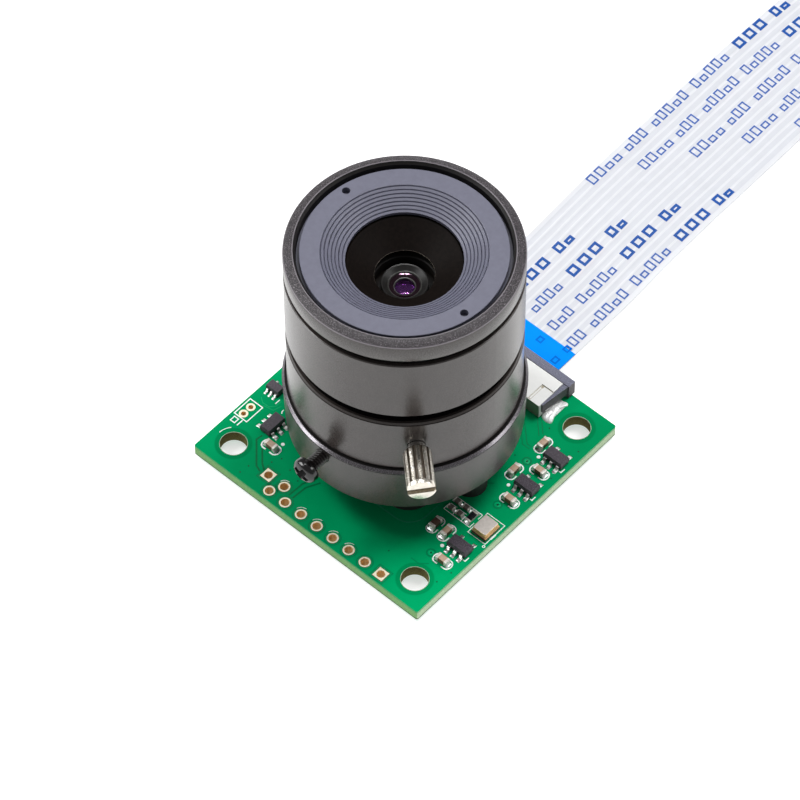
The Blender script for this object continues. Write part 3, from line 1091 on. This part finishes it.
inner_glass = dome_mesh("front_glass_inner", 3.9, 30.985, 1.16, 30.72, M_DOME)
inner_deep = dome_mesh("front_glass_second", 2.1, 30.70, 1.13, 30.34, M_DOME)
inner_bed = dome_mesh("front_glass_bed", 3.2, 30.32, 1.16, 30.05, M_COAT_VIOLET)
for ob in (inner_deep, inner_bed):
    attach(ob, "optics")
for ob in (outer_glass, inner_ring, inner_glass):
    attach(ob, "optics")
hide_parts("front_element")
for n_ in ("second_element", "doublet_crown", "doublet_flint", "rear_element"):
    use_cad(n_, M_GLASS)
for n_ in ("front_spacer", "aperture_stop", "cell_spacer", "rear_retaining_ring"):
    use_cad(n_, M_MATT)

# ------------------------------------------------------------------ thumbscrew: ridged head, plain neck, slotted end
TH = outward(-42.7, 19.0)
RIDGES = 12
US = (-0.5, -0.43, -0.36, -0.33, -0.30, -0.27, -0.14, 0.0, 0.14, 0.27, 0.30, 0.33, 0.36, 0.43)
HEAD_R, VALLEY = 1.68, 1.40


def ridge(u):
    """Height of the knurl across one pitch, 0 in the valley to 1 on the crest."""
    a = abs(u)
    if a >= 0.36:
        return 0.0
    if a <= 0.27:
        return 1.0 - 0.10 * (a / 0.27) ** 2
    s = (a - 0.27) / 0.09
    return 0.90 * (1 - s * s * (3 - 2 * s))


def ring_at(z, env, valley):
    out = []
    for k in range(RIDGES):
        for u in US:
            a = 2 * math.pi * (k + u) / RIDGES
            r = min(env, valley + (HEAD_R - valley) * ridge(u))
            out.append(Vector((r * math.cos(a), r * math.sin(a), z)))
    return out


LEVELS = [(14.55, 1.25, VALLEY), (14.60, 1.34, VALLEY), (14.75, 1.52, VALLEY), (14.90, 1.63, VALLEY),
          (15.05, 1.68, VALLEY), (15.8, 1.68, VALLEY), (16.5, 1.68, VALLEY), (17.5, 1.68, VALLEY), (18.5, 1.68, VALLEY), (19.50, 1.68, VALLEY),
          (19.56, 1.68, 1.50), (19.62, 1.68, 1.65), (19.64, 1.68, 1.68)]
bm = bmesh.new()
rows = [[bm.verts.new(v) for v in ring_at(*lv_)] for lv_ in LEVELS]
N_ = len(rows[0])
for q_, (a, b) in enumerate(zip(rows[:-1], rows[1:])):
    for i in range(N_):
        j = (i + 1) % N_
        f = bm.faces.new((a[i], a[j], b[j], b[i]))
        u0 = US[i % len(US)]
        u1 = US[j % len(US)] if j % len(US) else 0.5
        f.material_index = 3 if abs(u0 + u1) / 2 > 0.30 and q_ < 10 else 2
bm.faces.new(rows[0][::-1])
f = bm.faces.new(rows[-1])
f.material_index = 1
# the two smooth halves of the end, either side of the slot
TILT = math.radians(96)
HALF = 0.41
for side in (1, -1):
    rws = []
    for z, env, half in ((19.60, 1.68, HALF), (20.06, 1.68, HALF), (20.12, 1.655, HALF + 0.008), (20.15, 1.60, HALF + 0.03)):
        a0 = math.asin(half / env)
        seq = [(env * math.cos(t), side * env * math.sin(t)) for t in np.linspace(a0, math.pi - a0, 41)]
        rws.append([bm.verts.new((x * math.cos(TILT) - y * math.sin(TILT), x * math.sin(TILT) + y * math.cos(TILT), z))
                    for x, y in seq])
    M_ = len(rws[0])
    for a, b in zip(rws[:-1], rws[1:]):
        for i in range(M_):
            j = (i + 1) % M_
            bm.faces.new((a[i], a[j], b[j], b[i]))
    bm.faces.new(rws[0][::-1])
    bm.faces.new(rws[-1])
bmesh.ops.transform(bm, matrix=TH, verts=bm.verts)
thumb = finish_mesh("thumbscrew_head", bm, [M_NICKEL, M_NICKEL_SLOT, M_KNURL, M_KNURL_ROOT], 32)
neck = lathe("thumbscrew_neck", [(0, 11.15), (0.55, 11.15), (1.0, 11.5), (1.04, 11.6), (1.04, 14.56), (0, 14.56)],
             M_NECK, 64, 30, TH)
for ob in (thumb, neck):
    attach(ob, "thumbscrew")
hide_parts("focus_thumbscrew")

# ------------------------------------------------------------------ connector
use_cad("connector_housing", M_IVORY, bevel=0.05)
use_cad("connector_contacts", M_TIN)
use_cad("connector_slider", M_SLIDER, bevel=0.05)
use_cad("connector_hold_downs", M_TIN)


def fillet(bm, x, y, ang, width, reach, height, mat=0, z=T, flare=0.12, back=0.10, power=2.0, n=6):
    """Concave solder fillet that climbs a terminal: starts at (x, y), runs out along ang."""
    ca, sa = math.cos(math.radians(ang)), math.sin(math.radians(ang))

    def at(s, w, h):
        return bm.verts.new((x + ca * s - sa * w, y + sa * s + ca * w, z + h))
    rows_ = []
    for i in range(n + 1):
        s = -back + (reach + back) * i / n
        q = max(0.0, min(1.0, 1 - s / reach))
        h = 0.022 + height * q ** power
        w = width / 2 * (1 + flare * (1 - q))
        if i == n:
            w *= 0.82
            h = 0.012
        rows_.append([at(s, -w, 0.0), at(s, -w * 0.96, h * 0.45), at(s, -w * 0.72, h * 0.88), at(s, 0, h),
                      at(s, w * 0.72, h * 0.88), at(s, w * 0.96, h * 0.45), at(s, w, 0.0)])
    for a, b in zip(rows_[:-1], rows_[1:]):
        for k in range(6):
            f_ = bm.faces.new((a[k], a[k + 1], b[k + 1], b[k]))
            f_.material_index = mat
        f_ = bm.faces.new((a[0], b[0], b[6], a[6]))
        f_.material_index = mat
    for row in (rows_[0], rows_[-1]):
        f_ = bm.faces.new(row)
        f_.material_index = mat


# solder over the hold-downs: an uneven bright pool with a raised crown
POOL = [(10.20, 13.05), (10.75, 12.72), (11.45, 12.70), (11.78, 13.05), (11.62, 13.60), (11.42, 14.10), (11.44, 14.65),
        (11.30, 15.15), (11.42, 15.70), (11.58, 16.25), (11.25, 16.55), (10.75, 16.40), (10.30, 16.20), (10.18, 15.0),
        (10.18, 14.0)]


def pool(bm, pts, top, mat=0):
    cx_ = sum(p_[0] for p_ in pts) / len(pts)
    cy_ = sum(p_[1] for p_ in pts) / len(pts)
    dense = []
    n_ = len(pts)
    for i in range(n_):
        p0, p1, p2, p3 = (Vector(pts[(i + k) % n_]) for k in (-1, 0, 1, 2))
        for s in range(4):
            u_ = s / 4
            dense.append(0.5 * ((2 * p1) + (p2 - p0) * u_ + (2 * p0 - 5 * p1 + 4 * p2 - p3) * u_ ** 2 +
                                (3 * p1 - p0 - 3 * p2 + p3) * u_ ** 3))
    levels = ((1.0, 0.0), (1.0, 0.03), (0.93, 0.34), (0.78, 0.62), (0.55, 0.84), (0.28, 0.97))
    rr = []
    for k, (sc, hh) in enumerate(levels):
        rr.append([bm.verts.new((cx_ + (q.x - cx_) * sc, cy_ + (q.y - cy_) * sc,
                                 T + top * hh * (1 + 0.10 * math.sin(5 * q.x + 3 * q.y)))) for q in dense])
    for a, b in zip(rr[:-1], rr[1:]):
        for i in range(len(dense)):
            j = (i + 1) % len(dense)
            bm.faces.new((a[i], a[j], b[j], b[i])).material_index = mat
    bm.faces.new(rr[0][::-1]).material_index = mat
    bm.faces.new(rr[-1]).material_index = mat


bm = bmesh.new()
pool(bm, POOL, 0.46, 1)
pool(bm, [(-x, y) for x, y in POOL][::-1], 0.46, 1)
for i in range(15):
    fillet(bm, -7.0 + i, 11.78, -90, 0.36, 0.42, 0.14, back=0.5)
conn_solder = finish_mesh("connector_solder", bm, [M_SOLDER, M_POOL], 50)
place(conn_solder, "board", "tinned_copper")

# joint lines and small marks on the housing's end lands
bm = bmesh.new()
LZ = 3.90
for sx in (-1, 1):
    def bar(x0, x1, y0, y1, z0, z1, mat=0):
        prism(bm, [(sx * x0, y0), (sx * x1, y0), (sx * x1, y1), (sx * x0, y1)][::sx], z0, z1, mat)
    bar(8.31, 8.37, 12.64, 15.28, LZ - 0.01, LZ + 0.012)
    bar(8.31, 10.04, 15.22, 15.28, LZ - 0.01, LZ + 0.012)
    bar(8.40, 8.72, 14.88, 15.20, LZ - 0.01, LZ + 0.010)
    bar(8.42, 8.58, 12.66, 12.80, LZ - 0.01, LZ + 0.012)
    bar(8.60, 8.65, 12.7, 14.9, LZ - 0.01, LZ + 0.006)
joints_ = finish_mesh("connector_joint_lines", bm, M_IVORY_DARK, smooth=False)
place(joints_, "board", "ivory_plastic")

# ------------------------------------------------------------------ chips and chip parts
use_cad("regulator_chips", M_EPOXY, bevel=0.04)
use_cad("regulator_leads", M_LEAD, bevel=0.03)
use_cad("gate_chip", M_EPOXY, bevel=0.03)
use_cad("gate_leads", M_LEAD, bevel=0.02)
use_cad("level_shift_chip", M_EPOXY, bevel=0.04)
use_cad("level_shift_leads", M_LEAD, bevel=0.03)
SOT6, SC70 = (-12.66, -9.61), (-16.10, -5.45)
bm = bmesh.new()


def lead_solder(cx_, cy_, turn, xs_lo, xs_hi, y_toe, w, reach=0.22, h=0.12):
    c_, s_ = math.cos(math.radians(turn)), math.sin(math.radians(turn))
    for xs, sgn in ((xs_lo, -1), (xs_hi, 1)):
        for x in xs:
            px, py = x, sgn * (y_toe - 0.04)
            fillet(bm, cx_ + c_ * px - s_ * py, cy_ + s_ * px + c_ * py, 90 * sgn + turn, w, reach, h, back=0.46)


for x, y in SOT5:
    lead_solder(x, y, 0, (-0.95, 0, 0.95), (-0.95, 0.95), 1.45, 0.52)
lead_solder(SOT6[0], SOT6[1], 90, (-0.95, 0, 0.95), (-0.95, 0, 0.95), 1.45, 0.52)
lead_solder(SC70[0], SC70[1], 0, (-0.65, 0, 0.65), (-0.65, 0.65), 1.10, 0.36, 0.18, 0.10)
chip_solder = finish_mesh("chip_solder", bm, M_SOLDER, 50)
place(chip_solder, "board", "tinned_copper")


def chip_part(bm, x, y, turn, L, W, H, cap, z0, mid, end, over=0.018, r=0.05):
    """Ceramic block with plated ends wrapped round it."""
    mt = Matrix.Translation((x, y, 0)) @ Matrix.Rotation(math.radians(turn), 4, "Z")
    rounded_box(bm, -L / 2 + cap * 0.6, L / 2 - cap * 0.6, -W / 2, W / 2, z0 + 0.01, z0 + H - over, 0.03, 2, mid, mt)
    for s in (-1, 1):
        a, b = sorted((s * L / 2, s * (L / 2 - cap)))
        rounded_box(bm, a, b, -W / 2 - over, W / 2 + over, z0, z0 + H, r, 3, end, mt)


bm = bmesh.new()
for x, y, turn, dark_one in CAPS:
    chip_part(bm, x, y, turn, 1.60, 0.80, 0.80, 0.36, T + 0.02, 3 if dark_one else 0, 1)
    for s in (-1, 1):
        a = turn + (0 if s > 0 else 180)
        c_, s_ = math.cos(math.radians(a)), math.sin(math.radians(a))
        fillet(bm, x + c_ * 0.79, y + s_ * 0.79, a, 0.82, 0.26, 0.36, 2)
caps = finish_mesh("capacitors_detailed", bm, [M_CAP, M_TERM, M_SOLDER, M_CAP_DARK], 40)
place(caps, "board", "capacitor_tan", "ceramic_capacitors")

bm = bmesh.new()
for x, y in SMALL:
    chip_part(bm, x, y, 0, 1.00, 0.50, 0.50, 0.20, T + 0.02, 0, 1, 0.012, 0.035)
    for s in (-1, 1):
        fillet(bm, x + s * 0.49, y, 0 if s > 0 else 180, 0.50, 0.14, 0.20, 2)
small_caps = finish_mesh("small_capacitors_detailed", bm, [M_CAP_GREY, M_TERM, M_SOLDER], 40)
place(small_caps, "board", "capacitor_grey", "small_capacitors")

bm = bmesh.new()
mt = Matrix.Translation((13.77, -3.65, 0)) @ Matrix.Rotation(math.radians(90), 4, "Z")
rounded_box(bm, -0.78, 0.78, -0.38, 0.38, T + 0.03, T + 0.40, 0.02, 1, 1, mt)
rounded_box(bm, -0.56, 0.56, -0.375, 0.375, T + 0.39, T + 0.465, 0.02, 2, 0, mt)
for s in (-1, 1):
    a, b = sorted((s * 0.80, s * 0.53))
    rounded_box(bm, a, b, -0.395, 0.395, T + 0.02, T + 0.455, 0.04, 2, 2, mt)
for s in (-1, 1):
    fillet(bm, 13.77, -3.65 + s * 0.79, 90 * s, 0.80, 0.28, 0.26, 3)
res = finish_mesh("chip_resistor_detailed", bm, [M_RES, M_ALUMINA, M_TERM, M_SOLDER], 40)
place(res, "board", "resistor_black", "chip_resistor")
use_cad("crystal_base", M_CERAMIC)
use_cad("crystal_lid", M_LID, bevel=0.03)

# ------------------------------------------------------------------ stage
FLOOR_Z = -0.6
bm = bmesh.new()
bmesh.ops.create_grid(bm, x_segments=1, y_segments=1, size=3000)
for v in bm.verts:
    v.co.z = FLOOR_Z - 0.01
M_FLOOR = principled("floor_pale", (0.55, 0.55, 0.55), 0.65)
under = math_node(M_FLOOR, "MAXIMUM", object_mask(M_FLOOR, "X", 17.2), object_mask(M_FLOOR, "X", -17.2, above=False))
under = math_node(M_FLOOR, "MAXIMUM", under, object_mask(M_FLOOR, "Y", 17.2))
under = math_node(M_FLOOR, "MAXIMUM", under, object_mask(M_FLOOR, "Y", -17.2, above=False))
seen = math_node(M_FLOOR, "SUBTRACT", 1.0, radius_mask(M_FLOOR, 3.3, 14.5, 14.5, fold=True, soft=0.5))
under = math_node(M_FLOOR, "MAXIMUM", under, math_node(M_FLOOR, "MULTIPLY", seen, 0.72))
put(M_FLOOR, "Base Color", mix(M_FLOOR, under, (0.40, 0.41, 0.38), (0.55, 0.55, 0.55)))
M_FLOOR.node_tree.nodes["Principled BSDF"].inputs["Emission Color"].default_value = (1, 1, 1, 1)
put(M_FLOOR, "Emission Strength", maprange(M_FLOOR, under, 0, 1, 0.10, 0.75))
floor = finish_mesh("floor", bm, M_FLOOR, smooth=False)

world = bpy.data.worlds.new("studio")
SCENE.world = world
world.use_nodes = True
bg = world.node_tree.nodes["Background"]
bg.inputs["Color"].default_value = (1.0, 1.0, 1.0, 1)
bg.inputs["Strength"].default_value = 0.28


def area(name, loc, target, size, power, color=(1, 1, 1), size_y=None):
    l = bpy.data.lights.new(name, "AREA")
    l.shape = "RECTANGLE"
    l.size = size * MM
    l.size_y = (size_y or size) * MM
    l.energy = power
    l.color = color
    o = bpy.data.objects.new(name, l)
    SCENE.collection.objects.link(o)
    loc = P(*loc)
    d = P(*target) - loc
    o.matrix_world = Matrix.Translation(loc) @ d.to_track_quat("-Z", "Y").to_matrix().to_4x4()
    return o


# two wide softboxes give the reflections, and three smaller ones the shading: left, right and behind, overhead
for ob in (area("left_softbox", (-800, -620, 640), (0, 30, 10), 820, 14.0, size_y=640),
           area("right_softbox", (820, 660, 700), (0, 30, 10), 640, 7.2, size_y=640)):
    ob.visible_diffuse = False
for ob in (area("left_shading", (-463, -168, 630), (0, 0, 10), 240, 3.6, size_y=240),
           area("right_shading", (78, 367, 706), (0, 0, 10), 300, 4.6, size_y=300),
           area("top_shading", (-40, 40, 800), (0, 0, 10), 200, 0.8, size_y=200)):
    ob.visible_glossy = False
    ob.visible_transmission = False
# two narrow strips overhead, side by side as seen from the camera
for sgn in (-1, 1):
    cx_, cy_ = -82 + sgn * 0.742 * 66, 90 + sgn * 0.670 * 66
    ob = area("overhead_strip_%d" % (0 if sgn < 0 else 1), (cx_, cy_, 620), (cx_ * 0.12, cy_ * 0.12, 20), 110, 1.25,
              size_y=26)
    d_ = (P(cx_ * 0.12, cy_ * 0.12, 20) - P(cx_, cy_, 620)).normalized()
    xax = Vector((0.742, 0.670, 0))
    xax = (xax - d_ * xax.dot(d_)).normalized()
    zax = -d_
    yax = zax.cross(xax)
    m4 = Matrix((xax, yax, zax)).transposed().to_4x4()
    m4.translation = P(cx_, cy_, 620)
    ob.matrix_world = m4
    ob.visible_diffuse = False

SCENE.view_settings.view_transform = "Standard"
SCENE.view_settings.look = "None"
SCENE.view_settings.exposure = 0.0
SCENE.view_settings.gamma = 1.0
SCENE.cycles.max_bounces = 10
SCENE.cycles.transparent_max_bounces = 8
SCENE.cycles.caustics_reflective = False
SCENE.cycles.caustics_refractive = False
SCENE.cycles.use_denoising = True
